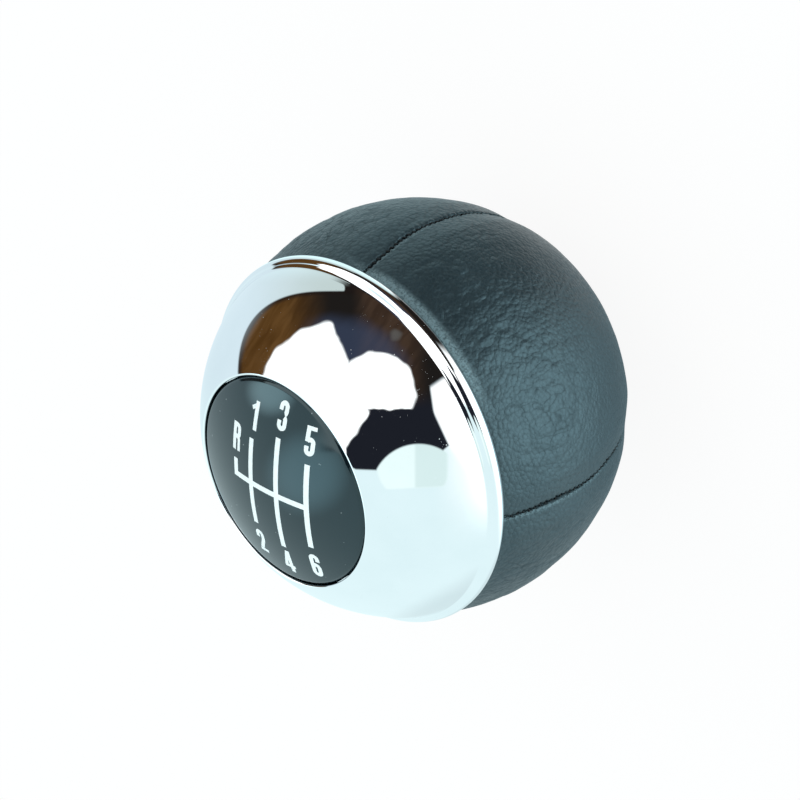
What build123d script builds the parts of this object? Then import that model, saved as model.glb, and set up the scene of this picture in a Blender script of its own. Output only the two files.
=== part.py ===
"""Ball gear shift knob: a chromed cap with a domed gear pattern disc on a leather ball.

Frame: the knob stands on its base collar. The origin is the centre of the lever socket's
mouth, in the plane of the base. +Z runs up the lever towards the pattern disc, +Y points
forwards in the car (the top of the gear pattern) and +X to the right. Sizes in millimetres.
"""
import os
from math import sqrt

from build123d import *

# Leather ball: four panels sewn together, glued on the core and hemmed at both ends
ball_r = 26.0              # outer radius of the leather
leather_t = 1.4            # thickness of the leather
glue_line = 0.1            # glue between leather and core
panel_count = 4
seam_gap = 0.2             # gap between neighbouring panels at the surface
seam_roll_r = 1.1          # rounding of a panel's edge where it dips into the seam
hem_roll_r = 0.8           # rounding where the leather turns in at the cap and the collar
hem_relief = 0.25          # gap between a hem's cut edge and the piece inside it
lower_hem_w = 3.87         # flat ring of the ball's underside round the core's threaded hole

# Chromed cap: dome, cove and rim bead in one shell, with a recess for the disc
rim_rise = 10.9            # underside of the rim above the ball's centre
rim_overhang = 0.7         # the bead stands out this far from the leather beside it
bead_r = 1.0               # radius of the rim bead's section
bead_lift = 0.6            # centre of the bead above the rim's underside
cove_r = 0.9               # hollow between dome and bead
dome_step = 0.35           # the bead stands out this far from the dome's own line
dome_rise = 17.15          # height of the dome's crown over the rim's underside
cap_wall = 2.0
recess_bevel = 0.25        # bevelled edge round the disc's recess
skirt_wall = 1.6           # locating skirt inside the cap
skirt_engage = 2.1         # the skirt enters the core's mouth by this much
skirt_fit = 0.1            # radial clearance of the skirt in the core's mouth

# Gear pattern disc and the adhesive pad under it
disc_r = 13.65
disc_gap = 0.1             # radial clearance of the disc in its recess
disc_edge_h = 1.4          # height of the disc's upright edge
disc_crown_h = 2.8         # rise of the crown over that edge
disc_sink = 0.35           # the disc's shoulder lies this far below the chrome edge
disc_edge_r = 0.5          # rounding of the disc's shoulder
pad_t = 0.4
pad_margin = 0.5           # the pad ends this far inside the disc's edge

# Screws under the disc that hold the cap on the core
screw_count = 3
screw_first_angle = 90.0
screw_r = 1.3              # shank
screw_l = 9.5              # length under the head
screw_tip_l = 1.2          # tapered end of the shank
screw_head_r = 2.5
screw_head_h = 1.7
screw_head_bevel = 0.6
screw_slot_w = 0.8         # cross recess
screw_slot_l = 3.0
screw_slot_depth = 0.9
screw_hole_fit = 0.2       # radial clearance of the shank and the head in the cap
screw_pilot_fit = 0.05     # radial clearance of the shank in its column
screw_edge = 0.6           # wall between a head's counterbore and the side of the recess
screw_head_sink = 0.2      # the head's top lies this far below the recess floor
screw_seat_t = 1.8         # cap wall under a screw head
screw_boss_wall = 1.5      # wall of the cap's boss round the counterbore
column_wall = 1.65         # wall of the core's column round the pilot hole
pilot_spare = 0.6          # pilot hole runs on past the screw's tip

# Lever socket: slotted sleeve with a spring ring that grips the lever
socket_r = 6.0             # radius of the lever
sleeve_wall = 2.0
sleeve_l = 28.7
sleeve_lift = 0.3          # the sleeve's mouth lies this far above the base
mouth_chamfer = 0.7
sleeve_fit = 0.1           # clearance round the sleeve
sleeve_flange_w = 1.6
sleeve_flange_t = 1.5
finger_slot_count = 4
finger_slot_w = 1.2
finger_slot_l = 12.0
ring_t = 1.0               # flat spring ring, measured outwards
ring_w = 1.4               # and along the sleeve
ring_opening = 40.0        # angle left open, so that the ring can spread
ring_below_top = 3.0       # centre of the ring below the sleeve's top
ring_play = 0.1            # clearance of the ring in its groove

# Base collar: ring nut that traps the lower hems and the sleeve's flange
collar_flange_t = 1.6
collar_wall = 2.7          # wall of the threaded spigot
collar_h = 4.5             # base to the spigot's top
collar_inset = 0.35        # the flange stays this far inside the leather's line
collar_foot_w = 4.2        # width of the flat foot round the socket
collar_edge_r = 0.6
thread_fit = 0.1           # radial clearance of the spigot in the core
spanner_notch_count = 4
spanner_notch_w = 2.4
spanner_notch_l = 2.0
spanner_notch_depth = 0.9

# Core: moulded bowl with a socket tube, ribs and screw columns
shoulder_w = 4.1           # flat ring on the core under the upper hem
core_floor_t = 2.8
core_wall = 3.0            # wall of the bowl near its floor
tube_wall = 2.5
tube_end_t = 2.9
rib_count = 6
rib_first_angle = 30.0
rib_t = 1.6
rib_below_mouth = 6.5      # top of the ribs below the core's shoulder

# Socket and base: heights and radii that follow from the sizes above
sleeve_r = socket_r + sleeve_wall
sleeve_top_z = sleeve_lift + sleeve_l
tube_bore_r = sleeve_r + sleeve_fit
tube_bore_top_z = sleeve_top_z + sleeve_fit
tube_r = tube_bore_r + tube_wall
spigot_r = tube_bore_r + collar_wall
core_thread_r = spigot_r + thread_fit
core_bottom_z = collar_flange_t + leather_t
flange_bottom_z = collar_h
core_seat_z = flange_bottom_z + sleeve_flange_t + sleeve_fit
core_floor_z = core_seat_z + core_floor_t

# Ball: its centre stands where the leather just reaches the collar's flange
lower_edge_r = core_thread_r + lower_hem_w
ball_centre_z = collar_flange_t + sqrt(ball_r**2 - lower_edge_r**2)
leather_inner_r = ball_r - leather_t
core_r = leather_inner_r - glue_line
rim_z = ball_centre_z + rim_rise
shoulder_z = rim_z - leather_t


def ball_radius_at(radius, z):
    """Radius of a level circle at height z on a sphere about the ball's centre."""
    return sqrt(radius**2 - (z - ball_centre_z)**2)


def crown_radius(edge_r, rise):
    """Radius of the sphere that rises by this much over a rim of radius edge_r."""
    return (edge_r**2 + rise**2) / (2 * rise)


# Cap: the dome springs from the rim, which stands out from the leather
rim_r = ball_radius_at(ball_r, rim_z) + rim_overhang
dome_edge_r = rim_r - dome_step
dome_r = crown_radius(dome_edge_r, dome_rise)
dome_centre_z = rim_z + dome_rise - dome_r
core_mouth_r = ball_radius_at(core_r, shoulder_z) - shoulder_w
skirt_r = core_mouth_r - skirt_fit

# Recess and disc: they follow from where the dome reaches the recess
recess_r = disc_r + disc_gap
recess_edge_z = dome_centre_z + sqrt(dome_r**2 - recess_r**2)
disc_shoulder_z = recess_edge_z - disc_sink
disc_bottom_z = disc_shoulder_z - disc_edge_h
recess_floor_z = disc_bottom_z - pad_t
cap_ceiling_z = recess_floor_z - cap_wall

# Screws: they hang from the recess floor
head_hole_r = screw_head_r + screw_hole_fit
screw_circle_r = recess_r - screw_edge - head_hole_r
head_seat_z = recess_floor_z - screw_head_sink - screw_head_h
boss_bottom_z = head_seat_z - screw_seat_t
pilot_r = screw_r + screw_pilot_fit
pilot_bottom_z = head_seat_z - screw_l - pilot_spare


def disk(radius, z):
    """Section of a sphere of this radius with its centre on the axis."""
    return Pos(0, z) * Circle(radius)


def block(r_in, r_out, z_low, z_high):
    """Rectangle of a section, between two radii and two heights."""
    return Pos((r_in + r_out) / 2, (z_low + z_high) / 2) * Rectangle(r_out - r_in, z_high - z_low)


def turned(section, angle=360.0):
    """Solid made by turning a section, drawn as radius and height, about the knob's axis."""
    return revolve(Plane.XZ * section, Axis.Z, revolution_arc=angle)


def round_the_axis(count, first_angle, solid):
    """Copies of a solid at even angles about the knob's axis."""
    return [Rot(0, 0, first_angle + 360.0 / count * place) * solid for place in range(count)]


def upright(radius, z_low, z_high, off_axis=0.0):
    """Cylinder parallel to the axis, set off from it along +X."""
    height = z_high - z_low
    return Pos(off_axis, 0, z_low) * Cylinder(radius, height, align=(Align.CENTER, Align.CENTER, Align.MIN))


def bar(r_in, r_out, width, z_low, z_high):
    """Upright block that runs outwards along +X from one radius to another."""
    size = (r_out - r_in, width, z_high - z_low)
    return Pos(r_in, 0, z_low) * Box(*size, align=(Align.MIN, Align.CENTER, Align.MIN))


def corner_at(section, r, z):
    """The section's corner nearest to a radius and a height."""
    return section.vertices().sort_by_distance((r, z, 0))[0]


def make_pattern_disc():
    """Domed disc that carries the printed gear pattern, flat underneath."""
    crown_r = crown_radius(disc_r, disc_crown_h)
    crown = disk(crown_r, disc_shoulder_z + disc_crown_h - crown_r)
    section = crown & block(0, disc_r, disc_bottom_z, disc_shoulder_z + disc_crown_h)
    section = fillet(corner_at(section, disc_r, disc_shoulder_z), disc_edge_r)
    return turned(section)


def make_disc_adhesive():
    """Round pad of double-sided adhesive that holds the disc in its recess."""
    return upright(disc_r - pad_margin, recess_floor_z, disc_bottom_z)


def make_chrome_cap():
    """Plated shell: dome, cove and rim bead outside, recess, bosses and skirt inside."""
    bead_z = rim_z + bead_lift
    outline = disk(dome_r, dome_centre_z) & block(0, dome_r, rim_z, rim_z + dome_rise)
    bead = Pos(rim_r - bead_r, bead_z) * Circle(bead_r)
    outline += bead & block(0, rim_r, rim_z, bead_z + bead_r)
    valley = corner_at(outline, rim_r - bead_r, bead_z + bead_r)
    outline = fillet(valley, cove_r)
    hollow = disk(dome_r - cap_wall, dome_centre_z) & block(0, dome_r, rim_z, cap_ceiling_z)
    shell = outline - hollow - block(0, recess_r, recess_floor_z, rim_z + dome_rise)
    shell = chamfer(corner_at(shell, recess_r, recess_edge_z), recess_bevel)
    cap = turned(shell)
    dome_inside = turned(disk(dome_r - cap_wall / 2, dome_centre_z) & block(0, dome_r, rim_z, cap_ceiling_z))
    skirt_bottom_z = shoulder_z - skirt_engage
    cap += turned(block(skirt_r - skirt_wall, skirt_r, skirt_bottom_z, rim_z))
    cap += dome_inside & turned(block(skirt_r - skirt_wall, skirt_r, rim_z, cap_ceiling_z))
    boss = upright(head_hole_r + screw_boss_wall, boss_bottom_z, cap_ceiling_z, screw_circle_r)
    cap += [dome_inside & copy for copy in round_the_axis(screw_count, screw_first_angle, boss)]
    head_hole = upright(head_hole_r, head_seat_z, recess_floor_z, screw_circle_r)
    shank_hole = upright(screw_r + screw_hole_fit, boss_bottom_z, head_seat_z, screw_circle_r)
    cap -= round_the_axis(screw_count, screw_first_angle, head_hole + shank_hole)
    return cap


def make_cap_screws():
    """Self-tapping pan-head screws, hidden under the disc; the thread is left plain."""
    head_top_z = head_seat_z + screw_head_h
    head = block(0, screw_head_r, head_seat_z, head_top_z)
    head = chamfer(corner_at(head, screw_head_r, head_top_z), screw_head_bevel)
    tip_z = head_seat_z - screw_l
    shank = block(0, screw_r, tip_z, head_seat_z)
    shank = chamfer(corner_at(shank, screw_r, tip_z), screw_tip_l, screw_r / 2)
    screw = turned(head + shank)
    slot = bar(-screw_slot_l / 2, screw_slot_l / 2, screw_slot_w, head_top_z - screw_slot_depth, head_top_z)
    screw -= slot + Rot(0, 0, 90) * slot
    return Compound(round_the_axis(screw_count, screw_first_angle, Pos(screw_circle_r, 0, 0) * screw))


def make_core_body():
    """Moulded core: bowl with a flat shoulder, socket tube, ribs and screw columns."""
    bowl = disk(core_r, ball_centre_z) & block(0, core_r, core_bottom_z, shoulder_z)
    cavity = disk(core_r - core_wall, ball_centre_z) & block(0, core_mouth_r, core_floor_z, shoulder_z)
    core = turned(bowl - cavity)
    inside = turned(disk(core_r - core_wall / 2, ball_centre_z) & block(0, core_r, core_bottom_z, shoulder_z))
    core += upright(tube_r, core_floor_z, tube_bore_top_z + tube_end_t)
    rib = bar(tube_r - tube_wall / 2, core_r, rib_t, core_floor_z, shoulder_z - rib_below_mouth)
    core += [inside & copy for copy in round_the_axis(rib_count, rib_first_angle, rib)]
    column = upright(pilot_r + column_wall, core_floor_z, boss_bottom_z, screw_circle_r)
    core += round_the_axis(screw_count, screw_first_angle, column)
    pilot = upright(pilot_r, pilot_bottom_z, boss_bottom_z, screw_circle_r)
    core -= round_the_axis(screw_count, screw_first_angle, pilot)
    core -= upright(core_thread_r, core_bottom_z, core_seat_z)
    core -= upright(tube_bore_r, core_seat_z, tube_bore_top_z)
    return core


def half_ball(side_angle):
    """Ball cut off beside a seam's plane, with the cut's rim rolled; the angle is that of its side."""
    half = Circle(ball_r) & block(seam_gap / 2, ball_r, 0, ball_r)
    half = fillet(corner_at(half, seam_gap / 2, ball_r), seam_roll_r)
    return Pos(0, 0, ball_centre_z) * Rot(0, 0, side_angle) * revolve(half, Axis.X)


def make_leather_panel():
    """One leather panel: a quarter of the ball's skin with its hems and rolled seam edges."""
    skin = disk(ball_r, ball_centre_z) - disk(leather_inner_r, ball_centre_z)
    section = skin & block(0, ball_r, collar_flange_t, rim_z)
    upper_hem = block(core_mouth_r + hem_relief, ball_r, shoulder_z, rim_z)
    lower_hem = block(core_thread_r + hem_relief, ball_r, collar_flange_t, core_bottom_z)
    section += disk(ball_r, ball_centre_z) & (upper_hem + lower_hem)
    upper_corner = corner_at(section, ball_radius_at(ball_r, rim_z), rim_z)
    section = fillet(upper_corner, hem_roll_r)
    lower_corner = corner_at(section, lower_edge_r, collar_flange_t)
    section = fillet(lower_corner, hem_roll_r)
    first_seam_side = 90.0
    last_seam_side = 360.0 / panel_count - 90.0
    return turned(section) & half_ball(first_seam_side) & half_ball(last_seam_side)


def make_lever_sleeve():
    """Socket sleeve: flanged tube, split into fingers at its upper end, grooved for the ring."""
    ring_z = sleeve_top_z - ring_below_top
    groove_half_w = ring_w / 2 + ring_play
    section = block(socket_r, sleeve_r, sleeve_lift, sleeve_top_z)
    section += block(socket_r, sleeve_r + sleeve_flange_w, flange_bottom_z, flange_bottom_z + sleeve_flange_t)
    groove_r = sleeve_r - ring_t - 2 * ring_play
    section -= block(groove_r, sleeve_r, ring_z - groove_half_w, ring_z + groove_half_w)
    section = chamfer(corner_at(section, socket_r, sleeve_lift), mouth_chamfer)
    sleeve = turned(section)
    slot = bar(0, sleeve_r + sleeve_flange_w, finger_slot_w, sleeve_top_z - finger_slot_l, sleeve_top_z)
    sleeve -= round_the_axis(finger_slot_count, 180.0 / finger_slot_count, slot)
    return sleeve


def make_grip_ring():
    """Open flat spring ring that squeezes the sleeve's fingers on the lever."""
    ring_z = sleeve_top_z - ring_below_top
    ring_r = sleeve_r - ring_play
    strip = block(ring_r - ring_t, ring_r, ring_z - ring_w / 2, ring_z + ring_w / 2)
    return Rot(0, 0, ring_opening / 2) * turned(strip, 360.0 - ring_opening)


def make_base_collar():
    """Ring nut under the ball, with a flat foot, a bevelled flange and spanner notches."""
    foot_r = tube_bore_r + collar_foot_w
    flange_r = lower_edge_r - collar_inset
    with BuildSketch() as flange:
        with BuildLine():
            Polyline(
                (tube_bore_r, 0),
                (foot_r, 0),
                (flange_r, collar_flange_t / 2),
                (flange_r, collar_flange_t),
                (tube_bore_r, collar_flange_t),
                close=True,
            )
        make_face()
    section = flange.sketch + block(tube_bore_r, spigot_r, 0, collar_h)
    section = fillet(corner_at(section, flange_r, collar_flange_t / 2), collar_edge_r)
    collar = turned(section)
    notch = bar(0, tube_bore_r + spanner_notch_l, spanner_notch_w, 0, spanner_notch_depth)
    collar -= round_the_axis(spanner_notch_count, 180.0 / spanner_notch_count, notch)
    return collar


pieces = {
    "pattern_disc": make_pattern_disc(),
    "disc_adhesive": make_disc_adhesive(),
    "chrome_cap": make_chrome_cap(),
    "cap_screws": make_cap_screws(),
    "core_body": make_core_body(),
    "lever_sleeve": make_lever_sleeve(),
    "grip_ring": make_grip_ring(),
    "base_collar": make_base_collar(),
}
panel_names = ("leather_front_right", "leather_front_left", "leather_rear_left", "leather_rear_right")
for name, panel in zip(panel_names, round_the_axis(panel_count, 0.0, make_leather_panel())):
    pieces[name] = panel

os.makedirs("parts", exist_ok=True)
for name, solid in pieces.items():
    export_step(solid, f"parts/{name}.step")
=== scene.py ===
"""Finishes and soft parts of a ball gear shift knob: leather, chrome, glossy disc and white print."""
from math import acos, asin, atan2, ceil, cos, hypot, pi, radians, sin, sqrt

import bmesh
import bpy
from mathutils import Matrix, Vector, noise


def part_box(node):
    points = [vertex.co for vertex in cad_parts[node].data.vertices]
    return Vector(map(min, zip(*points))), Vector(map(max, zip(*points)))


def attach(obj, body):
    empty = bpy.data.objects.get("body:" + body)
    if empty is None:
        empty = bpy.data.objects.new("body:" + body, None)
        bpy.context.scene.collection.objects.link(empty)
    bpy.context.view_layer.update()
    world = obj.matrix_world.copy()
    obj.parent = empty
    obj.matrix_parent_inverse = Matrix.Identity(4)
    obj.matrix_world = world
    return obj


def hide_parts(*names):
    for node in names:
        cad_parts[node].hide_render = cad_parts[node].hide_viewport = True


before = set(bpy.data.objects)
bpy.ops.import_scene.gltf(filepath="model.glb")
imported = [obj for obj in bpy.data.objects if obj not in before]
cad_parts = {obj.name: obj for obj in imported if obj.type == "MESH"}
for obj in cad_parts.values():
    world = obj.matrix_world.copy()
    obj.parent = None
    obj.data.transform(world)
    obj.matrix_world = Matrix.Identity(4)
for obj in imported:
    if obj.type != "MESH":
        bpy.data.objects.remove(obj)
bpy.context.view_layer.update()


# Moulded core: the bowl inside the ball, of black glass-filled plastic, injection moulded in one
# piece with its socket tube and screw columns. Only its lower mouth shows, past the base collar.
mm = 0.001


class Shade:
    """A value in a finish: the output of a node, which takes part in plain arithmetic."""

    def __init__(self, tree, socket):
        self.tree = tree
        self.socket = socket

    def node(self, kind, settings, inputs, output=0):
        """Adds a node with its settings, then the values or links of its sockets."""
        made = self.tree.nodes.new(kind)
        for name, value in settings.items():
            setattr(made, name, value)
        for name, value in inputs.items():
            if isinstance(value, Shade):
                self.tree.links.new(value.socket, made.inputs[name])
            else:
                made.inputs[name].default_value = value
        return Shade(self.tree, made.outputs[output])

    def maths(self, operation, *values):
        return self.node("ShaderNodeMath", {"operation": operation}, dict(enumerate(values)))

    def __add__(self, other):
        return self.maths("ADD", self, other)

    def __radd__(self, other):
        return self.maths("ADD", other, self)

    def __sub__(self, other):
        return self.maths("SUBTRACT", self, other)

    def __rsub__(self, other):
        return self.maths("SUBTRACT", other, self)

    def __mul__(self, other):
        return self.maths("MULTIPLY", self, other)

    def __rmul__(self, other):
        return self.maths("MULTIPLY", other, self)

    def least(self, other):
        return self.maths("MINIMUM", self, other)

    def most(self, other):
        return self.maths("MAXIMUM", self, other)

    def power(self, exponent):
        return self.maths("POWER", self, exponent)

    def rise(self, low, high):
        """0 up to low, 1 from high on, with a soft step between them."""
        edges = {"Value": self, "From Min": low, "From Max": high}
        return self.node("ShaderNodeMapRange", {"interpolation_type": "SMOOTHSTEP"}, edges)

    def mix(self, colour, other):
        """The first colour where this value is 0, the other where it is 1."""
        return self.node("ShaderNodeMix", {"data_type": "RGBA"}, {0: self, 6: colour, 7: other}, 2)

    def vector(self, operation, other):
        return self.node("ShaderNodeVectorMath", {"operation": operation}, {0: self, 1: other})

    def dot(self, direction):
        inputs = {0: self, 1: direction}
        return self.node("ShaderNodeVectorMath", {"operation": "DOT_PRODUCT"}, inputs, "Value")

    def part(self, axis):
        """One coordinate of a place."""
        return self.node("ShaderNodeSeparateXYZ", {}, {0: self}, axis)

    def blotches(self, size, detail=2.0, output="Fac"):
        """Soft noise with blotches of this size."""
        inputs = {"Vector": self, "Scale": 1 / size, "Detail": detail}
        return self.node("ShaderNodeTexNoise", {}, inputs, output)

    def cells(self, size, feature="F1"):
        """Distance to the middle or the edge of irregular cells of this size."""
        inputs = {"Vector": self, "Scale": 1 / size}
        return self.node("ShaderNodeTexVoronoi", {"feature": feature}, inputs)

    def bump(self, height, strength):
        """Surface normal of a relief that is this high where the value is 1."""
        return self.node("ShaderNodeBump", {}, {"Strength": strength, "Distance": height, "Height": self})


class Finish:
    """A material with one surface shader: fixed sockets are set, varying ones are linked."""

    def __init__(self, name, **fixed):
        self.material = bpy.data.materials.new(name)
        self.material.use_nodes = True
        tree = self.material.node_tree
        self.shader = tree.nodes["Principled BSDF"]
        self.place = Shade(tree, tree.nodes.new("ShaderNodeTexCoord").outputs["Object"])
        for socket, value in fixed.items():
            self.shader.inputs[socket.replace("_", " ")].default_value = value

    def vary(self, **sockets):
        for socket, shade in sockets.items():
            self.place.tree.links.new(shade.socket, self.shader.inputs[socket.replace("_", " ")])

    def dress(self, *nodes):
        """Gives the finish to CAD nodes in place of their plain colour."""
        for node in nodes:
            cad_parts[node].material_slots[0].material = self.material


def moulded(name, colour, worn_colour, roughness, grain):
    """Moulded plastic: a fine spark-eroded grain, faint flow clouds and slightly uneven gloss."""
    finish = Finish(name)
    clouds = finish.place.blotches(7 * mm, 4.0)
    pits = finish.place.blotches(grain, 3.0)
    finish.vary(
        Base_Color=clouds.rise(0.3, 0.75).mix(colour, worn_colour),
        Roughness=roughness + (pits - 0.5) * 0.25 + (clouds - 0.5) * 0.1,
        Normal=pits.bump(0.03 * mm, 0.6),
    )
    return finish


core_black = moulded(
    "core_black_plastic", (0.018, 0.019, 0.021, 1), (0.03, 0.031, 0.033, 1), roughness=0.55, grain=0.28 * mm
)
core_black.dress("core_body")


# Lever sleeve: slotted socket of natural, ivory-grey nylon, pushed into the core, which takes the
# end of the gear lever. Its mouth shows in the middle of the base.
sleeve_nylon = moulded(
    "sleeve_natural_nylon", (0.30, 0.295, 0.27, 1), (0.36, 0.35, 0.315, 1), roughness=0.42, grain=0.4 * mm
)
sleeve_nylon.shader.inputs["Subsurface Weight"].default_value = 0.08
sleeve_nylon.shader.inputs["Subsurface Scale"].default_value = 0.4 * mm
sleeve_nylon.dress("lever_sleeve")


# Steel small parts: the open spring ring that squeezes the sleeve and the three cap screws under
# the disc, both of zinc-plated steel with fine drawing marks.
zinc = Finish("zinc_plated_steel", Metallic=1.0)
turning_marks = zinc.place.vector("MULTIPLY", (1.0, 1.0, 14.0)).blotches(0.6 * mm, 3.0)
stains = zinc.place.blotches(1.6 * mm, 3.0)
zinc.vary(
    Base_Color=stains.rise(0.35, 0.7).mix((0.50, 0.51, 0.53, 1), (0.64, 0.64, 0.62, 1)),
    Roughness=0.24 + turning_marks * 0.16 + stains * 0.08,
    Normal=turning_marks.bump(0.01 * mm, 0.5),
)
zinc.dress("grip_ring", "cap_screws")


# Leather panels: four gores of charcoal pebbled leather, sewn right sides together, turned and
# glued over the core. Their edges roll down into the seams, and both ends are trapped as hems.
ball_r = 26.0 * mm
leather_t = 1.4 * mm
hem_roll_r = 0.8 * mm
upper_hem_r = 18.73 * mm
lower_hem_r = 11.15 * mm
seam_gap = 0.2 * mm
seam_lip_r = 0.46 * mm
seam_valley = 0.26 * mm
lip_cuts = (0.13 * mm, 0.19 * mm, 0.27 * mm, 0.37 * mm, 0.49 * mm, 0.62 * mm, 0.76 * mm)
least_skin = 0.15 * mm
stitch_pitch = 0.8 * mm
stitch_dip = 0.05 * mm
seam_noise_row = 5.3
rim_rise = 10.9 * mm
panel_low, panel_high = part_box("leather_front_right")
rim_z = panel_high.z
foot_z = panel_low.z
ball_centre = Vector((0, 0, rim_z - rim_rise))


def line_to(bm, vert, r, z):
    """Draws a straight stretch of a turned section, from a vertex to a radius and a height."""
    end = bmesh.ops.extrude_vert_indiv(bm, verts=[vert])["verts"][0]
    end.co = (r, 0, z)
    return end


def arc_about(bm, vert, r, z, angle, step):
    """Draws an arc of a turned section about a centre; a positive angle turns from up to outwards."""
    radius = hypot(vert.co.x - r, vert.co.z - z)
    steps = max(2, ceil(abs(angle) * radius / step))
    arc = bmesh.ops.spin(bm, geom=[vert], cent=(r, 0, z), axis=(0, 1, 0), angle=angle, steps=steps)
    return next(part for part in arc["geom_last"] if isinstance(part, bmesh.types.BMVert))


def finished_piece(bm, name, finish, crease_angle=radians(35)):
    """Makes the mesh a smooth-shaded piece of the knob with its finish."""
    mesh = bpy.data.meshes.new(name)
    bm.to_mesh(mesh)
    bm.free()
    mesh.shade_smooth()
    mesh.set_sharp_from_angle(angle=crease_angle)
    mesh.materials.append(finish.material)
    piece = bpy.data.objects.new(name, mesh)
    bpy.context.scene.collection.objects.link(piece)
    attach(piece, "root")
    return piece


def cut_beside_seam(bm, normal, distance, clear=False):
    """Cuts the panel along a plane beside a seam, and clears the seam's side where asked."""
    whole = bm.verts[:] + bm.edges[:] + bm.faces[:]
    at = Vector(normal) * distance
    bmesh.ops.bisect_plane(bm, geom=whole, dist=1e-8, plane_co=at, plane_no=normal, clear_inner=clear)


def soft_step(value, low, high):
    """0 up to low, 1 from high on, with a soft step between them."""
    share = min(1.0, max(0.0, (value - low) / (high - low)))
    return share * share * (3 - 2 * share)


def seam_wander(seam, along):
    """How far a seam strays sideways from its plane, as sewn leather does."""
    slow_reach, slow_length = 0.3 * mm, 6 * mm
    quick_reach, quick_length = 0.09 * mm, 1.3 * mm
    slow = noise.noise(Vector((along / slow_length, seam_noise_row * seam, 0.0)))
    quick = noise.noise(Vector((along / quick_length, seam_noise_row * seam, 4.0)))
    return slow_reach * slow + quick_reach * quick


def seam_sink(point, beside, along):
    """How far the leather dips beside a seam: a valley, a ragged lip and a pull at each stitch."""
    nick, nick_length = 0.18 * mm, 0.45 * mm
    wave, wave_length = 0.1 * mm, 1.7 * mm
    drawn_back = 0.08 * mm
    valley = seam_valley * (1 - soft_step(beside, 0.4 * mm, 3.6 * mm))
    ragged = nick * noise.noise(point / nick_length) + wave * noise.noise(point / wave_length)
    pull = cos(2 * pi * along / stitch_pitch)
    ragged -= drawn_back * pull
    sink = valley + stitch_dip * (1 + pull) * (1 - soft_step(beside, 0.25 * mm, 1.1 * mm))
    short = seam_lip_r - max(0.0, beside + ragged - seam_gap / 2)
    if short > 0 and beside < 2 * seam_lip_r:
        sink += seam_lip_r - sqrt(seam_lip_r**2 - short**2)
    return min(sink, leather_t - least_skin)


def border(place, width):
    """1 on the borders of irregular cells, falling to 0 at this share of a cell from them."""
    near, next_near = noise.voronoi(place)[0][:2]
    return 1 - soft_step(next_near - near, 0.0, width)


def leather_relief(point):
    """Height of the skin: soft swells, and folds and gathers that run down from the rim."""
    sway, sway_length = 0.9 * mm, 3.2 * mm
    swell, swell_length = 0.06 * mm, 5.5 * mm
    small_swell, small_swell_length = 0.03 * mm, 2.1 * mm
    gather, gather_w, gather_length = 0.02 * mm, 1.15 * mm, 5 * mm
    fold, fold_w, fold_length = 0.07 * mm, 3.1 * mm, 6.5 * mm
    below_rim = rim_z - point.z
    azimuth = atan2(point.y, point.x)
    around = azimuth * ball_r + sway * noise.noise(point / sway_length)
    swells = swell * noise.noise(point / swell_length)
    swells += small_swell * noise.noise(point / small_swell_length)
    gather_place = Vector((around / gather_w, below_rim / gather_length, 0.0))
    gathers = gather * noise.noise(gather_place) * (1 - soft_step(below_rim, 0.8 * mm, gather_length))
    folds = border(Vector((around / fold_w, below_rim / fold_length, 3.1)), 0.3)
    folded = soft_step(below_rim, 1.5 * mm, 4 * mm) * (1 - 0.8 * soft_step(below_rim, 9 * mm, 18 * mm))
    folded *= 0.15 + 0.85 * soft_step(abs(sin(2 * azimuth)), 0.15, 0.75)
    held = soft_step(below_rim, 0.2 * mm, 1.6 * mm) * soft_step(point.z - foot_z, 0.2 * mm, 1.6 * mm)
    return (swells + gathers - fold * folds * folded) * held


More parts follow.
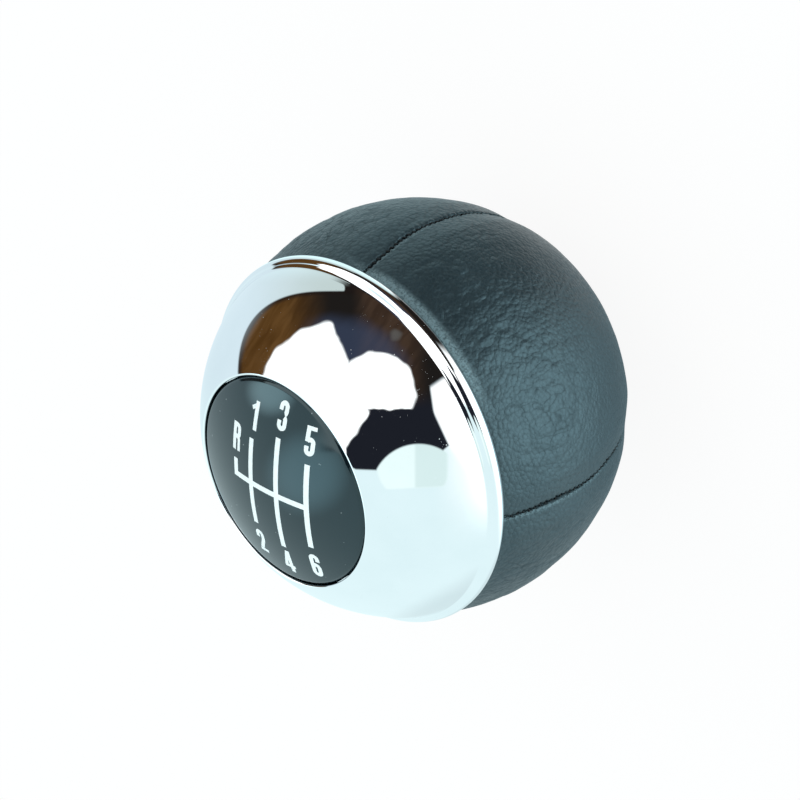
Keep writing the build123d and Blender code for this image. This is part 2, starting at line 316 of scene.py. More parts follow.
def leather_panel(name, quarter, finish):
    """One gore: the closed section of skin and hems turned through a quarter, cut at its seams."""
    upper_roll_z = rim_z - hem_roll_r
    lower_roll_z = foot_z + hem_roll_r
    upper_angle = asin((upper_roll_z - ball_centre.z) / (ball_r - hem_roll_r))
    lower_angle = asin((lower_roll_z - ball_centre.z) / (ball_r - hem_roll_r))
    upper_roll_r = (ball_r - hem_roll_r) * cos(upper_angle)
    lower_roll_r = (ball_r - hem_roll_r) * cos(lower_angle)
    inner_r = ball_r - leather_t
    inner_upper = asin((rim_z - leather_t - ball_centre.z) / inner_r)
    inner_lower = asin((foot_z + leather_t - ball_centre.z) / inner_r)
    fine, coarse = 0.22 * mm, 2.0 * mm
    bm = bmesh.new()
    start = bm.verts.new((upper_hem_r, 0, rim_z))
    at = line_to(bm, start, upper_roll_r, rim_z)
    at = arc_about(bm, at, upper_roll_r, upper_roll_z, pi / 2 - upper_angle, fine)
    at = arc_about(bm, at, 0, ball_centre.z, upper_angle - lower_angle, fine)
    at = arc_about(bm, at, lower_roll_r, lower_roll_z, lower_angle + pi / 2, fine)
    at = line_to(bm, at, lower_hem_r, foot_z)
    at = line_to(bm, at, lower_hem_r, foot_z + leather_t)
    at = line_to(bm, at, inner_r * cos(inner_lower), foot_z + leather_t)
    at = arc_about(bm, at, 0, ball_centre.z, inner_lower - inner_upper, coarse)
    at = line_to(bm, at, upper_hem_r, rim_z - leather_t)
    bm.edges.new((at, start))
    section = bm.verts[:] + bm.edges[:]
    steps = ceil(ball_r * pi / 2 / fine)
    bmesh.ops.spin(bm, geom=section, cent=(0, 0, 0), axis=(0, 0, 1), angle=pi / 2, steps=steps)
    for normal in ((1, 0, 0), (0, 1, 0)):
        cut_beside_seam(bm, normal, seam_gap / 2, clear=True)
        for beside in lip_cuts:
            cut_beside_seam(bm, normal, beside)
    bmesh.ops.remove_doubles(bm, verts=bm.verts[:], dist=0.002 * mm)
    bmesh.ops.holes_fill(bm, edges=[edge for edge in bm.edges if edge.is_boundary])
    bmesh.ops.rotate(bm, verts=bm.verts[:], matrix=Matrix.Rotation(quarter * pi / 2, 3, "Z"))
    bmesh.ops.recalc_face_normals(bm, faces=bm.faces[:])
    for vert in bm.verts:
        outwards = vert.co - ball_centre
        if outwards.length < ball_r - leather_t / 2:
            continue
        outwards.normalize()
        beside = min(abs(vert.co.x), abs(vert.co.y))
        along = asin(outwards.z) * ball_r
        seam = round(atan2(vert.co.y, vert.co.x) / (pi / 2)) % 4
        sideways = Matrix.Rotation(seam * pi / 2, 3, "Z") @ Vector((0, 1, 0))
        drawn_aside = seam_wander(seam, along) * (1 - soft_step(beside, 0.6 * mm, 6 * mm))
        height = leather_relief(vert.co) - seam_sink(vert.co, beside, along)
        vert.co += outwards * height + sideways * drawn_aside
    panel = finished_piece(bm, f"{name}_skin", finish, crease_angle=radians(60))
    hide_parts(name)


pebble_size = 0.52 * mm
pore_size = 0.24 * mm
pillow_size = 1.45 * mm
cell_roundness = 1.6
tone_size = 6 * mm
grain_h = 0.14 * mm
pebble_drift = 0.4 * mm
pillow_drift = 1.1 * mm
pillow_stretch = 0.6
leather = Finish("charcoal_leather", IOR=1.7, Specular_Tint=(0.68, 0.93, 1.0, 1))
skin_x, skin_y, skin_z = (leather.place.part(axis) for axis in "XYZ")
azimuth = skin_x.maths("ARCTAN2", skin_y, skin_x)
beside_seam = skin_x.maths("ABSOLUTE", skin_x).least(skin_y.maths("ABSOLUTE", skin_y))
drift = leather.place.blotches(2.4 * mm, 2.0, "Color").vector("SUBTRACT", (0.5, 0.5, 0.5))
skin_place = leather.place.vector("ADD", drift.vector("MULTIPLY", (pebble_drift,) * 3))
unrolled = {0: azimuth * ball_r, 1: skin_z * pillow_stretch, 2: 0.0}
gore_place = skin_x.node("ShaderNodeCombineXYZ", {}, unrolled)
gore_place = gore_place.vector("ADD", drift.vector("MULTIPLY", (pillow_drift,) * 3))
pores = leather.place.blotches(pore_size, 2.0)
pebble_middle = skin_place.cells(pebble_size)
pebbles = (1 - pebble_middle * pebble_middle * cell_roundness).most(0.0)
pillow_middle = gore_place.cells(pillow_size)
pillow_edge = gore_place.cells(pillow_size, "DISTANCE_TO_EDGE")
tone = leather.place.blotches(tone_size, 3.0).rise(0.3, 0.7)

# The hand's grip has puffed and creased the skin most in the upper half, away from the seams.
folded = leather.place.blotches(tone_size, 2.0).rise(0.3, 0.6) * beside_seam.rise(2 * mm, 9 * mm)
folded = folded * skin_z.rise(rim_z - 21 * mm, rim_z - 7 * mm)
folded = folded * skin_z.rise(rim_z - 1.2 * mm, rim_z - 3.2 * mm)
folded = 0.22 + folded * 0.78
pillows = (1 - pillow_middle * pillow_middle * cell_roundness).most(0.0) * folded
# Painted shade in the creases between the pillows.
crease_shade = (1 - pillow_edge.rise(0.0, 0.075)) * folded
relief = pillows * 0.85 + pebbles * 0.34 + pores * 0.2

# The upper hem is paler in a textured band along the rim, strongest towards one side. One lip of
# each seam has a painted highlight, where its rolled edge would catch the light.
pale_hem_side = (skin_x * 0.42 + skin_y * 0.91).rise(19.5 * mm, 23.2 * mm)
pale_hem = skin_z.rise(rim_z - 1.9 * mm, rim_z - 0.7 * mm) * (0.04 + pale_hem_side)
pale_hem = pale_hem * (0.45 + pores.rise(0.3, 0.7) * 0.95)
# Painted highlight: a lighter band on one lip of each seam, fading away from the rim.
clockwise_lip = skin_x.maths("SINE", azimuth * 4).rise(0.0, -0.03)
clockwise_lip = clockwise_lip * skin_z.rise(rim_z - 20 * mm, rim_z - 8 * mm)
lip_highlight = beside_seam.rise(0.16 * mm, 0.28 * mm) * beside_seam.rise(0.85 * mm, 0.45 * mm)
lip_highlight = clockwise_lip * lip_highlight * pores.rise(0.35, 0.6)
pale_hem_and_lip_highlight = pale_hem.most(lip_highlight * 0.5)

# Painted shade: the creases and the line under the rim are darkened where shade falls, and the
# seams are darkened both as dark edge dye and as painted shade.
painted_shade_under_rim = skin_z.rise(rim_z - 0.42 * mm, rim_z - 0.3 * mm)
seam_shade = (beside_seam + (pores - 0.5) * (0.6 * mm)).rise(0.4 * mm, 0.12 * mm)
shade = (crease_shade * 0.52).most(seam_shade * 0.75).most(painted_shade_under_rim)
# The skin's colour: random tone and pore mottling, with the pebble tops painted lighter as a painted
# highlight.
grain_tone_and_highlight = pebbles * 0.4 + pores * 0.3 + tone * 0.3
skin_colour = grain_tone_and_highlight.mix((0.0065, 0.0128, 0.0170, 1), (0.013, 0.0255, 0.0335, 1))
# The pale hem band and the painted lip highlight lighten the skin.
skin_colour = pale_hem_and_lip_highlight.mix(skin_colour, (0.15, 0.215, 0.235, 1))
leather.vary(
    # Painted shade: creases, seams and the line under the rim go nearly black.
    Base_Color=shade.mix(skin_colour, (0.002, 0.004, 0.006, 1)),
    Roughness=0.49 - pebbles * 0.08 + shade * 0.3 + tone * 0.05,
    Normal=relief.bump(grain_h, 1.0),
)
panel_names = ("leather_front_right", "leather_front_left", "leather_rear_left", "leather_rear_right")
for quarter, panel_name in enumerate(panel_names):
    leather_panel(panel_name, quarter, leather)


# Seam allowances: the sewn edges of the panels, skived thin, turned in and glued flat. They run
# behind each seam from the rim to the collar and close the gap between the panels.
allowance_w = 1.4 * mm
allowance_t = 0.3 * mm
allowance_depth = 1.0 * mm
allowance_inset = 0.05 * mm


def seam_allowance(name, seam, finish):
    """A strip behind one seam: an arc under the skin, drawn out sideways and given its thickness."""
    strip_r = ball_r - allowance_depth
    upper_angle = asin((rim_z - allowance_inset - ball_centre.z) / strip_r)
    lower_angle = asin((foot_z + allowance_inset - ball_centre.z) / strip_r)
    coarse = 0.5 * mm
    bm = bmesh.new()
    start = bm.verts.new((strip_r * cos(upper_angle), -allowance_w / 2, 0))
    start.co.z = ball_centre.z + strip_r * sin(upper_angle)
    arc_about(bm, start, 0, ball_centre.z, upper_angle - lower_angle, coarse)
    drawn = bmesh.ops.extrude_edge_only(bm, edges=bm.edges[:])["geom"]
    far_side = [part for part in drawn if isinstance(part, bmesh.types.BMVert)]
    bmesh.ops.translate(bm, verts=far_side, vec=(0, allowance_w, 0))
    bmesh.ops.recalc_face_normals(bm, faces=bm.faces[:])
    bmesh.ops.solidify(bm, geom=bm.faces[:], thickness=allowance_t)
    bmesh.ops.recalc_face_normals(bm, faces=bm.faces[:])
    bmesh.ops.rotate(bm, verts=bm.verts[:], matrix=Matrix.Rotation(seam * pi / 2, 3, "Z"))
    finished_piece(bm, name, finish)


seam_sides = ("right", "front", "left", "rear")
for seam, side in enumerate(seam_sides):
    seam_allowance(f"seam_allowance_{side}", seam, leather)


# Sewing thread: black bonded polyester in the four seams, laid across the gap in short slanted
# loops, pulled down between the rolled edges of the panels.
thread_r = 0.1 * mm
loop_reach = 0.26 * mm
loop_depth = 0.44 * mm
loop_slant = radians(28)
loop_unevenness = 0.6
loop_noise_step = 0.7
thread_sides = 6
loop_steps = 6
thread = Finish("black_sewing_thread", Roughness=0.7, IOR=1.35)
strands = thread.place.blotches(0.09 * mm, 1.0)
thread.vary(
    Base_Color=strands.rise(0.3, 0.7).mix((0.004, 0.005, 0.006, 1), (0.014, 0.017, 0.019, 1)),
    Normal=strands.bump(0.03 * mm, 0.8),
)


def seam_thread(name, seam, finish):
    """Loops of thread along one seam, from under the rim to the base collar."""
    highest = asin((rim_z - ball_centre.z) / ball_r) - stitch_pitch / ball_r
    lowest = asin((foot_z - ball_centre.z) / ball_r) + stitch_pitch / ball_r
    count = round((highest - lowest) * ball_r / stitch_pitch)
    bm = bmesh.new()
    for number in range(count):
        latitude = (ceil(lowest * ball_r / stitch_pitch) + number) * stitch_pitch / ball_r
        ring = bmesh.ops.create_circle(
            bm, segments=thread_sides, radius=thread_r, matrix=Matrix.Translation((loop_reach, 0, 0))
        )["verts"]
        edges = list({edge for vert in ring for edge in vert.link_edges})
        before = set(bm.verts) - set(ring)
        bmesh.ops.spin(
            bm, geom=ring + edges, cent=(0, 0, 0), axis=(0, 1, 0), angle=-pi, steps=loop_steps
        )
        loop = [vert for vert in bm.verts if vert not in before]
        outwards = Matrix.Rotation(seam * pi / 2, 4, "Z") @ Matrix.Rotation(pi / 2 - latitude, 4, "Y")
        noise_place = Vector((number * loop_noise_step, seam_noise_row * seam, 0.0))
        uneven = loop_unevenness * noise.noise(noise_place)
        upright = Matrix.Rotation(pi / 2 + loop_slant + uneven, 4, "Z")
        aside = seam_wander(seam, latitude * ball_r)
        seat = Matrix.Translation((0, aside, ball_r - loop_depth - loop_reach))
        place = Matrix.Translation(ball_centre) @ outwards @ seat @ upright
        bmesh.ops.transform(bm, matrix=place, verts=loop)
    bmesh.ops.holes_fill(bm, edges=[edge for edge in bm.edges if edge.is_boundary])
    bmesh.ops.recalc_face_normals(bm, faces=bm.faces[:])
    finished_piece(bm, name, finish)


for seam, side in enumerate(seam_sides):
    seam_thread(f"seam_thread_{side}", seam, thread)


# Base collar: ring nut of black nylon, screwed into the core from below. It traps the lower hems
# of the leather and the flange of the sleeve, and the knob stands on its foot.
collar_black = moulded(
    "collar_black_nylon", (0.016, 0.017, 0.018, 1), (0.028, 0.029, 0.03, 1), roughness=0.48, grain=0.22 * mm
)
collar_black.dress("base_collar")


# Chromed cap: one moulded shell, bright chrome plated, with a dome, a narrow cove and a rounded
# rim bead that presses on the upper hems. A flat-bottomed recess in its crown takes the disc.
bead_r = 1.0 * mm
bead_lift = 0.6 * mm
cove_r = 0.9 * mm
dome_step = 0.35 * mm
dome_rise = 17.15 * mm
cap_wall = 2.0 * mm
lip_r = 0.22 * mm
skirt_r = 18.48 * mm
skirt_wall = 1.6 * mm
disc_gap = 0.1 * mm
pad_t = 0.4 * mm
cap_facets = 400
cap_low, cap_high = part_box("chrome_cap")
disc_low, disc_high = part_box("pattern_disc")
rim_r = cap_high.x
recess_r = disc_high.x + disc_gap
recess_floor_z = disc_low.z - pad_t


def crown_radius(edge_r, rise):
    """Radius of the sphere that rises by this much over a rim of radius edge_r."""
    return (edge_r**2 + rise**2) / (2 * rise)


def turned_solid(bm, steps):
    """Turns the drawn section about the knob's axis and closes it there."""
    section = bm.verts[:] + bm.edges[:]
    bmesh.ops.spin(
        bm, geom=section, cent=(0, 0, 0), axis=(0, 0, 1), angle=2 * pi, steps=steps, use_merge=True
    )
    bmesh.ops.remove_doubles(bm, verts=bm.verts[:], dist=0.0005 * mm)
    bmesh.ops.recalc_face_normals(bm, faces=bm.faces[:])


def angle_from_up(r, z):
    """Direction of a point of the section, measured from up towards outwards."""
    return atan2(r, z)


def chrome_cap(name, finish):
    """The shell: one section of recess, dome, cove, bead, skirt and ceiling, turned about the axis."""
    dome_r = crown_radius(rim_r - dome_step, dome_rise)
    dome_z = rim_z + dome_rise - dome_r
    bead_at = Vector((rim_r - bead_r, rim_z + bead_lift - dome_z))
    to_cove = dome_r + cove_r
    spread = acos((to_cove**2 + bead_at.length**2 - (bead_r + cove_r)**2) / (2 * to_cove * bead_at.length))
    cove_angle = angle_from_up(bead_at.x, bead_at.y) - spread
    cove_at = Vector((sin(cove_angle), cos(cove_angle))) * to_cove
    to_bead = bead_at - cove_at
    cove_turn = cove_angle + pi - angle_from_up(to_bead.x, to_bead.y) % (2 * pi)
    bead_start = angle_from_up(-to_bead.x, -to_bead.y)
    bead_end = pi / 2 + asin(bead_lift / bead_r)
    lip_angle = asin((recess_r + lip_r) / (dome_r - lip_r))
    lip_z = dome_z + (dome_r - lip_r) * cos(lip_angle)
    inner_r = dome_r - cap_wall
    skirt_in_r = skirt_r - skirt_wall
    ceiling_z = recess_floor_z - cap_wall
    fine, coarse = 0.3 * mm, 1.5 * mm
    rim_fine = 0.04 * mm
    bm = bmesh.new()
    at = bm.verts.new((0, 0, recess_floor_z))
    at = line_to(bm, at, recess_r, recess_floor_z)
    at = line_to(bm, at, recess_r, lip_z)
    at = arc_about(bm, at, recess_r + lip_r, lip_z, pi / 2 + lip_angle, rim_fine / 2)
    at = arc_about(bm, at, 0, dome_z, cove_angle - lip_angle, fine)
    at = arc_about(bm, at, cove_at.x, dome_z + cove_at.y, -cove_turn, rim_fine)
    at = arc_about(bm, at, bead_at.x, dome_z + bead_at.y, bead_end - bead_start, rim_fine)
    at = line_to(bm, at, sqrt(inner_r**2 - (rim_z - dome_z)**2), rim_z)
    rim_angle = acos((rim_z - dome_z) / inner_r)
    at = arc_about(bm, at, 0, dome_z, asin(skirt_r / inner_r) - rim_angle, coarse)
    at = line_to(bm, at, skirt_r, cap_low.z)
    at = line_to(bm, at, skirt_in_r, cap_low.z)
    at = line_to(bm, at, skirt_in_r, dome_z + sqrt(inner_r**2 - skirt_in_r**2))
    ceiling_angle = acos((ceiling_z - dome_z) / inner_r)
    at = arc_about(bm, at, 0, dome_z, ceiling_angle - asin(skirt_in_r / inner_r), coarse)
    line_to(bm, at, 0, ceiling_z)
    turned_solid(bm, cap_facets)
    cap = finished_piece(bm, f"{name}_shell", finish, crease_angle=radians(30))
    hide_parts(name)


chrome = Finish("bright_chrome", Metallic=1.0)
smears = chrome.place.blotches(9 * mm, 4.0)
dust = chrome.place.cells(0.8 * mm).rise(0.10, 0.05) * chrome.place.blotches(5 * mm).rise(0.48, 0.62)
fine_dust = chrome.place.cells(0.38 * mm).rise(0.12, 0.05) * chrome.place.blotches(3 * mm).rise(0.5, 0.6)
chrome.vary(
    Base_Color=smears.rise(0.3, 0.7).mix((0.88, 0.90, 0.91, 1), (0.92, 0.93, 0.94, 1)),
    Roughness=0.02 + smears.rise(0.55, 0.8) * 0.05 + dust.most(fine_dust) * 0.35,
)
chrome_cap("chrome_cap", chrome)


# Adhesive pad: a round of grey double-sided foam tape, die cut, that holds the disc in the
# recess of the cap. It is hidden once the disc is pressed home.
foam = moulded(
    "grey_foam_tape", (0.50, 0.50, 0.47, 1), (0.58, 0.58, 0.55, 1), roughness=0.8, grain=0.5 * mm
)
foam.dress("disc_adhesive")


# Gear pattern disc: a domed disc of glossy black acrylic, moulded with a rounded shoulder and
# pressed onto the foam pad, with a hairline gap to the lip of the recess.
disc_shoulder_r = 0.9 * mm
disc_crown_h = 2.8 * mm
disc_facets = 192
disc_r = disc_high.x
crown_r = crown_radius(disc_r, disc_crown_h)
crown_z = disc_high.z - crown_r


def pattern_disc(name, finish):
    """The disc: a shallow crown, a rounded shoulder and a flat back, turned about the axis."""
    round_r = disc_shoulder_r
    shoulder_at = asin((disc_r - round_r) / (crown_r - round_r))
    shoulder_z = crown_z + (crown_r - round_r) * cos(shoulder_at)
    fine, rim_fine = 0.4 * mm, 0.06 * mm
    bm = bmesh.new()
    at = bm.verts.new((0, 0, disc_high.z))
    at = arc_about(bm, at, 0, crown_z, shoulder_at, fine)
    at = arc_about(bm, at, disc_r - round_r, shoulder_z, pi / 2 - shoulder_at, rim_fine)
    at = line_to(bm, at, disc_r, disc_low.z)
    line_to(bm, at, 0, disc_low.z)
    turned_solid(bm, disc_facets)
    disc = finished_piece(bm, f"{name}_crown", finish, crease_angle=radians(40))
    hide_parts(name)


gloss_black = Finish("gloss_black_acrylic", IOR=1.62, Specular_Tint=(0.72, 0.95, 1.0, 1))
haze = gloss_black.place.blotches(6 * mm, 3.0)
specks = gloss_black.place.cells(1.9 * mm).rise(0.05, 0.03)
gloss_black.vary(
    Base_Color=specks.mix((0.005, 0.011, 0.015, 1), (0.25, 0.27, 0.28, 1)),
    Roughness=0.06 + haze.rise(0.45, 0.8) * 0.08,
)
pattern_disc("pattern_disc", gloss_black)


# Gear pattern: white screen print on the disc, the gate of six forward gears and reverse with
# the gears' numbers. It is drawn flat in millimetres and laid on the crown, a little proud of it.
ink_rise = 0.02
ink_root = 0.04
print_turn = radians(3.06)
gate_w = 0.74
gate_columns = ((-2.78, 5.98), (1.62, 7.68), (6.22, 5.82))
reverse_x = -5.68
reverse_top = 2.1
number_h = 3.6
number_gap = 1.12
middle_number_gaps = (0.98, 0.6)
pen_w = 0.58
thin_pen_w = 0.48
bowl_r = 0.43
bend_step = 10


def stroke(bm, x, y, heading, width, *moves):
    """A band drawn by a pen: each move is a straight run or a bend of a radius and an angle."""
    forward = Vector((cos(radians(heading)), sin(radians(heading)), 0))
    side = Vector((-forward.y, forward.x, 0))
    middle = Vector((x, y, 0))
    ends = [bm.verts.new(middle + side * width / 2), bm.verts.new(middle - side * width / 2)]
    band = [*ends, bm.edges.new(ends)]
    for move in moves:
        if isinstance(move, tuple):
            radius, angle = move
            side = Vector((-forward.y, forward.x, 0))
            centre = middle + side * (radius if angle > 0 else -radius)
            turn = Matrix.Rotation(radians(angle), 3, "Z")
            steps = ceil(abs(angle) / bend_step)
            swept = bmesh.ops.spin(
                bm, geom=band, cent=centre, axis=(0, 0, 1), angle=radians(angle), steps=steps
            )
            band = swept["geom_last"]
            middle = centre + turn @ (middle - centre)
            forward = turn @ forward
        else:
            edge = next(part for part in band if isinstance(part, bmesh.types.BMEdge))
            band = bmesh.ops.extrude_edge_only(bm, edges=[edge])["geom"]
            verts = [part for part in band if isinstance(part, bmesh.types.BMVert)]
            bmesh.ops.translate(bm, verts=verts, vec=forward * move)
            edge = next(e for e in verts[0].link_edges if e in verts[1].link_edges)
            band = [*verts, edge]
            middle = middle + forward * move


# Each sign is drawn in strokes, in millimetres from the middle of its foot.
def digit_one(bm, x, y):
    stroke(bm, x + 0.25, y, 90, 0.62, number_h)
    stroke(bm, x - 0.56, y + number_h - 1.0, 35, thin_pen_w, 0.8)


def digit_two(bm, x, y):
    top = number_h - pen_w / 2 - bowl_r
    stroke(bm, x - bowl_r, y + top - 0.55, 90, pen_w, 0.55, (bowl_r, -180), 0.5, (0.9, -24), 1.66)
    stroke(bm, x - bowl_r - pen_w / 2, y + thin_pen_w / 2, 0, thin_pen_w, 2 * bowl_r + pen_w)


def digit_three(bm, x, y):
    top = number_h - pen_w / 2 - bowl_r
    low = pen_w / 2 + bowl_r
    stroke(bm, x - bowl_r, y + top - 0.45, 90, pen_w, 0.45, (bowl_r, -180), 0.5, (0.4, -62))
    stroke(bm, x - bowl_r, y + low + 0.5, 270, pen_w, 0.5, (bowl_r, 180), 0.6, (0.4, 62))


def digit_four(bm, x, y):
    stroke(bm, x + 0.3, y, 90, pen_w, number_h)
    stroke(bm, x - 0.8, y + 0.95, 0, thin_pen_w, 1.65)
    stroke(bm, x - 0.56, y + 0.9, 74, thin_pen_w, 2.72)


def digit_five(bm, x, y):
    low = pen_w / 2 + bowl_r
    stroke(bm, x + 0.68, y + number_h - thin_pen_w / 2, 180, thin_pen_w, 1.4)
    stroke(bm, x - bowl_r, y + number_h - 0.1, 270, pen_w, 1.8)
    stroke(bm, x - bowl_r, y + low + 0.45, 270, pen_w, 0.45, (bowl_r, 180), 0.85, (bowl_r, 120), 0.2)


def digit_six(bm, x, y):
    top = number_h - pen_w / 2 - bowl_r
    low = pen_w / 2 + bowl_r
    stroke(
        bm, x + bowl_r, y + top - 0.4, 90, pen_w,
        0.4, (bowl_r, 180), top - low, (bowl_r, 180), 0.75, (bowl_r, 150),
    )


def letter_r(bm, x, y):
    shoulder = number_h - pen_w / 2
    stroke(bm, x - bowl_r, y, 90, pen_w, number_h)
    stroke(bm, x - bowl_r, y + shoulder, 0, pen_w, 0.43, (bowl_r, -90), 0.6, (bowl_r, -90), 0.3)
    stroke(bm, x - 0.2, y + 1.84, 0, thin_pen_w, 0.2, (bowl_r, -90), 1.4)


def draw_gate(bm):
    for column_x, half_length in gate_columns:
        stroke(bm, column_x, -half_length, 90, gate_w, 2 * half_length)
    stroke(bm, reverse_x, 0, 0, gate_w, gate_columns[-1][0] - reverse_x)
    stroke(bm, reverse_x, -gate_w / 2, 90, gate_w, reverse_top + gate_w / 2)


def draw_numbers(bm):
    (first_x, first_y), (middle_x, middle_y), (last_x, last_y) = gate_columns
    gap_above, gap_below = middle_number_gaps
    digit_one(bm, first_x + 0.1, first_y + number_gap)
    digit_two(bm, first_x + 0.1, -first_y - number_gap - number_h)
    digit_three(bm, middle_x + 0.2, middle_y + gap_above)
    digit_four(bm, middle_x, -middle_y - gap_below - number_h)
    digit_five(bm, last_x + 0.02, last_y + number_gap)
    digit_six(bm, last_x, -last_y - number_gap - number_h)
    letter_r(bm, reverse_x + 0.1, reverse_top + number_gap)


def raised_layer(draw):
    """A layer of the drawing with the ink's thickness, as an object for the join."""
    bm = bmesh.new()
    draw(bm)
    raised = bmesh.ops.extrude_face_region(bm, geom=bm.faces[:])["geom"]
    tops = [part for part in raised if isinstance(part, bmesh.types.BMVert)]
    bmesh.ops.translate(bm, verts=tops, vec=(0, 0, ink_rise + ink_root))
    bmesh.ops.recalc_face_normals(bm, faces=bm.faces[:])
    mesh = bpy.data.meshes.new("print_layer")
    bm.to_mesh(mesh)
    bm.free()
    layer = bpy.data.objects.new("print_layer", mesh)
    bpy.context.scene.collection.objects.link(layer)
    return layer


def gear_pattern(name, finish):
    """Joins the strokes into one outline, cuts it finely enough to bend and lays it on the crown."""
    gate = raised_layer(draw_gate)
    numbers = raised_layer(draw_numbers)
    join = gate.modifiers.new("join", "BOOLEAN")
    join.operation = "UNION"
    join.solver = "EXACT"
    join.use_self = True
    join.object = numbers
    bm = bmesh.new()
    bm.from_object(gate, bpy.context.evaluated_depsgraph_get())
    bpy.data.objects.remove(gate)
    bpy.data.objects.remove(numbers)
    reach = ceil(disc_r / mm)
    for axis in ((1, 0, 0), (0, 1, 0)):
        for place in range(-reach, reach):
            whole = bm.verts[:] + bm.edges[:] + bm.faces[:]
            bmesh.ops.bisect_plane(bm, geom=whole, dist=1e-5, plane_co=Vector(axis) * place, plane_no=axis)
    bmesh.ops.triangulate(bm, faces=bm.faces[:])
    bmesh.ops.scale(bm, verts=bm.verts[:], vec=(mm, mm, mm))
    for vert in bm.verts:
        crown = crown_z + sqrt(crown_r**2 - vert.co.x**2 - vert.co.y**2)
        vert.co.z += crown - ink_root * mm
    bmesh.ops.rotate(bm, verts=bm.verts[:], matrix=Matrix.Rotation(print_turn, 3, "Z"))
    finished_piece(bm, name, finish)


white_ink = Finish("white_screen_ink", Roughness=0.3)
ink_film = white_ink.place.blotches(0.5 * mm, 3.0)
white_ink.vary(
    Base_Color=ink_film.rise(0.3, 0.7).mix((0.86, 0.90, 0.90, 1), (0.93, 0.95, 0.95, 1)),
    Normal=ink_film.bump(0.01 * mm, 0.4),
)
gear_pattern("gear_pattern", white_ink)


# Table: the plain white matt surface that the knob stands on, which keeps its soft shadow. The
# chrome and the leather mirror the studio in its place, and it lies a hair below the foot.
table_r = 230 * mm
table_facets = 128
table_drop = 0.05 * mm
table_glow = 0.92
table_mesh = bpy.data.meshes.new("table")
table_bm = bmesh.new()
below_foot = Matrix.Translation((0, 0, -table_drop))
bmesh.ops.create_circle(
    table_bm, cap_ends=True, segments=table_facets, radius=table_r, matrix=below_foot
)
table_bm.to_mesh(table_mesh)
table_bm.free()
table = bpy.data.objects.new("table", table_mesh)
bpy.context.scene.collection.objects.link(table)
table.visible_glossy = False
table_white = Finish("table_white", Roughness=0.9, Base_Color=(0.9, 0.9, 0.9, 1))
table_tree = table_white.place.tree
rays = table_tree.nodes.new("ShaderNodeLightPath")
seen = Shade(table_tree, rays.outputs["Is Camera Ray"])
seen = seen.most(Shade(table_tree, rays.outputs["Is Glossy Ray"]))
seen = seen.most(Shade(table_tree, rays.outputs["Is Transmission Ray"]))
glow = seen.node("ShaderNodeEmission", {}, {"Color": (1, 1, 1, 1), "Strength": 1.0})
lit = Shade(table_tree, table_white.shader.outputs["BSDF"])
blend = seen.node("ShaderNodeMixShader", {}, {0: seen * table_glow, 1: lit, 2: glow})
table_tree.links.new(blend.socket, table_tree.nodes["Material Output"].inputs["Surface"])
table_mesh.materials.append(table_white.material)


# Camera: a long lens that looks down on the knob, turned on its axis so that the cap hangs to
# the lower left.
camera_azimuth = radians(43.552)
camera_elevation = radians(37.628)
camera_roll = radians(-118.972)
camera_distance = 340.0 * mm
camera_aim = Vector((-2.0, 0.548, 24.388)) * mm
lens_length = 122.35
sensor_width = 36.0
lens_data = bpy.data.cameras.new("camera")
lens_data.lens = lens_length
lens_data.sensor_width = sensor_width
lens_data.clip_start = 10 * mm
camera = bpy.data.objects.new("camera", lens_data)
bpy.context.scene.collection.objects.link(camera)
back = Vector((
    cos(camera_elevation) * cos(camera_azimuth),
    cos(camera_elevation) * sin(camera_azimuth),
    sin(camera_elevation),
))
turned = back.to_track_quat("Z", "Y").to_matrix() @ Matrix.Rotation(camera_roll, 3, "Z")
camera.matrix_world = Matrix.Translation(camera_aim + back * camera_distance) @ turned.to_4x4()
bpy.context.scene.camera = camera


# Studio: a white tent all round with one dark side behind the camera, where a warm brown
# backdrop hangs, and white reflector cards in front of it. Its light is soft and even.
world = bpy.data.worlds.new("studio")
bpy.context.scene.world = world
world.use_nodes = True
sky_tree = world.node_tree
sky_rays = sky_tree.nodes.new("ShaderNodeLightPath")
direction = Shade(sky_tree, sky_tree.nodes.new("ShaderNodeTexCoord").outputs["Generated"])
half = direction.vector("ADD", tuple(back))
half = half.node("ShaderNodeVectorMath", {"operation": "NORMALIZE"}, {0: half})
across = half.dot(tuple(turned.col[0]))
upwards = half.dot(tuple(turned.col[1]))


def beyond(x, y, normal_degrees, soft):
    """1 on the side of a straight edge through a point that its normal points to."""
    normal_x, normal_y = cos(radians(normal_degrees)), sin(radians(normal_degrees))
    offset = x * normal_x + y * normal_y
    return (across * normal_x + upwards * normal_y).rise(offset - soft, offset + soft)


def within(x, y, radius, soft):
    """1 inside a round edge about a point."""
    off_x = across - x
    off_y = upwards - y
    return (off_x * off_x + off_y * off_y).rise((radius + soft)**2, (radius - soft)**2)


# The open sides of the studio: the window on the left, the table's side and the softbox.
corner_x, corner_w = -0.36, 0.44
corner_y, corner_h = 0.17, 0.42
corner_squareness = 2.6
left_of_corner = (across - corner_x).least(0.0) * (-1 / corner_w)
above_corner = (upwards - corner_y).most(0.0) * (1 / corner_h)
corner = left_of_corner.power(corner_squareness) + above_corner.power(corner_squareness)
window_frame = corner.rise(0.84, 0.96)
rounded_end = within(-0.318, 0.603, 0.034, 0.004).most(beyond(-0.318, 0.6, 180, 0.004))
window_end = beyond(-0.36, 0.655, 245, 0.004) * rounded_end
window = corner.rise(0.97, 1.03) * window_end.most(beyond(-0.5, 0.5, 180, 0.06))
low_card = within(0.07, -0.365, 0.226, 0.006) * beyond(0.205, -0.25, 180, 0.012)
table_side = low_card.most(beyond(0.0, -0.268, 268, 0.006))
right_side = beyond(0.165, -0.045, 25, 0.006) * beyond(0.127, 0.1, 8, 0.006)
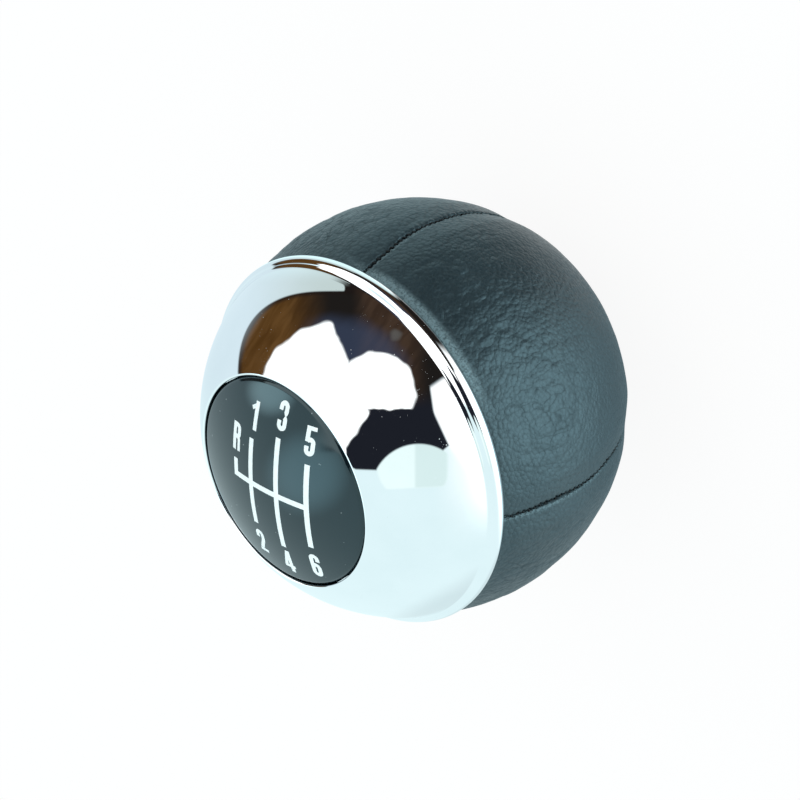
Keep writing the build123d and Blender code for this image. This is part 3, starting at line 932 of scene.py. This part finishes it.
upper_right = beyond(0.15, 0.15, 304.6, 0.012)
upper_right = upper_right.most(beyond(0.4, 0.44, 295, 0.05) * beyond(0.25, 0.3, 0, 0.04))
right_side = right_side * upper_right
low_right = beyond(0.197, -0.159, 310, 0.006)
overhead = beyond(0.0, 0.66, 95, 0.03) * beyond(0.2, 0.72, 121, 0.04)
beside_cards = beyond(-0.6, 0.06, 270, 0.05) * beyond(-0.5, 0.0, 180, 0.04)
behind_knob = (across * across + upwards * upwards).rise(0.66, 0.92)
open_side = window
for opening in (table_side, right_side, low_right, overhead, beside_cards, behind_knob):
    open_side = open_side.most(opening)

# The tent's white cloth, and over it what stands out from it, one tint after the other.
card_face = low_card * beyond(0.0, -0.35, 93, 0.008) * within(0.045, -0.235, 0.175, 0.01)
tent_tints = (
    # window, roof and the cloth on the right
    (across.rise(-0.8, -0.35) * upwards.rise(0.4, 0.5), (0.61, 0.72, 0.71, 1)),
    (upwards.rise(0.62, 0.82), (0.85, 1.12, 1.18, 1)),
    (across.rise(0.12, 0.35) * upwards.rise(-0.65, -0.1), (1.2, 1.25, 1.25, 1)),
    # the bent card on the table, with a fold down its middle
    (card_face, (0.93, 1.1, 1.09, 1)),
    (card_face * across.rise(0.042, 0.062), (0.77, 0.95, 0.94, 1)),
    # the softbox, its bright middle and the dim end of the tent beyond it
    (right_side * upwards.rise(-0.2, -0.12), (1.15, 1.15, 1.15, 1)),
    (across.rise(0.26, 0.46) * upwards.rise(0.5, 0.22) * upwards.rise(-0.6, -0.25), (1.6, 2.08, 2.2, 1)),
    (within(0.53, 0.0, 0.2, 0.17), (2.85, 3.6, 3.85, 1)),
    (across.rise(0.66, 0.86) * upwards.rise(-0.75, -0.4), (0.42, 0.58, 0.64, 1)),
    # two small lights that the disc mirrors, and the shade near the table
    (within(-0.685, -0.035, 0.055, 0.05), (2.45, 3.15, 3.35, 1)),
    (within(-0.56, -0.33, 0.09, 0.08), (1.55, 2.15, 2.35, 1)),
    (beyond(0.42, -0.727, 300, 0.05) * 0.25, (0.36, 0.43, 0.46, 1)),
)
tent = upwards.rise(-0.35, 0.3).mix((0.815, 1.0, 1.03, 1), (0.72, 0.87, 0.94, 1))
for mask, tint in tent_tints:
    tent = mask.mix(tent, tint)

# The dark backdrop behind the camera, with two white cards and a dim lamp in front of it. From
# here on the two coordinates waver a little, because cloth and bent card have no straight edges.
waver_size = 0.14
waver = 0.03
ripple = direction.blotches(waver_size, 1.0, "Color").vector("SUBTRACT", (0.5, 0.5, 0.5))
across = across + ripple.part("X") * waver
upwards = upwards + ripple.part("Y") * waver
along_grain = {0: across * 26 - upwards * 16, 1: upwards * 5, 2: 0.0}
grain = across.node("ShaderNodeCombineXYZ", {}, along_grain).blotches(1.0, 3.0).rise(0.3, 0.7)
hung_cloth = across.rise(-0.26, -0.15) * across.rise(0.13, 0.0)
cloth_brown = grain.mix((0.040, 0.024, 0.016, 1), (0.062, 0.038, 0.025, 1))
card_glow = within(-0.33, 0.08, 0.375, 0.05) * across.rise(-0.52, -0.38)
card_glow = card_glow.most(within(-0.13, 0.11, 0.2, 0.045) * across.rise(0.0, -0.12))
lamp = within(-0.04, 0.375, 0.02, 0.02)
tall_card = within(-0.33, 0.08, 0.357, 0.012) * beyond(-0.30, 0.325, 203, 0.012)
tall_card = tall_card * beyond(-0.215, -0.072, 148.5, 0.008)
round_card = within(-0.13, 0.11, 0.185, 0.01) * beyond(-0.1, 0.027, 90, 0.006)
backdrop_tints = (
    (across.rise(-0.6, -0.34), (0.014, 0.012, 0.011, 1)),
    (window_frame * 0.8, (0.014, 0.010, 0.009, 1)),
    (hung_cloth, cloth_brown),
    (upwards.rise(0.14, 0.02), (0.013, 0.015, 0.022, 1)),
    (card_glow * upwards.rise(0.2, 0.28) * 0.6, (0.050, 0.070, 0.125, 1)),
    (lamp * 0.7, (0.12, 0.12, 0.115, 1)),
    (tall_card.most(round_card), (1.7, 1.75, 1.75, 1)),
)
backdrop = grain.mix((0.080, 0.036, 0.009, 1), (0.130, 0.064, 0.020, 1))
for mask, tint in backdrop_tints:
    backdrop = mask.mix(backdrop, tint)
room = open_side.mix(backdrop, tent)
sky = Shade(sky_tree, sky_rays.outputs["Is Camera Ray"]).mix(room, (1, 1, 1, 1))
sky_tree.links.new(sky.socket, sky_tree.nodes["Background"].inputs["Color"])
sky_tree.nodes["Background"].inputs["Strength"].default_value = 1.0

bpy.context.scene.view_settings.view_transform = "Standard"
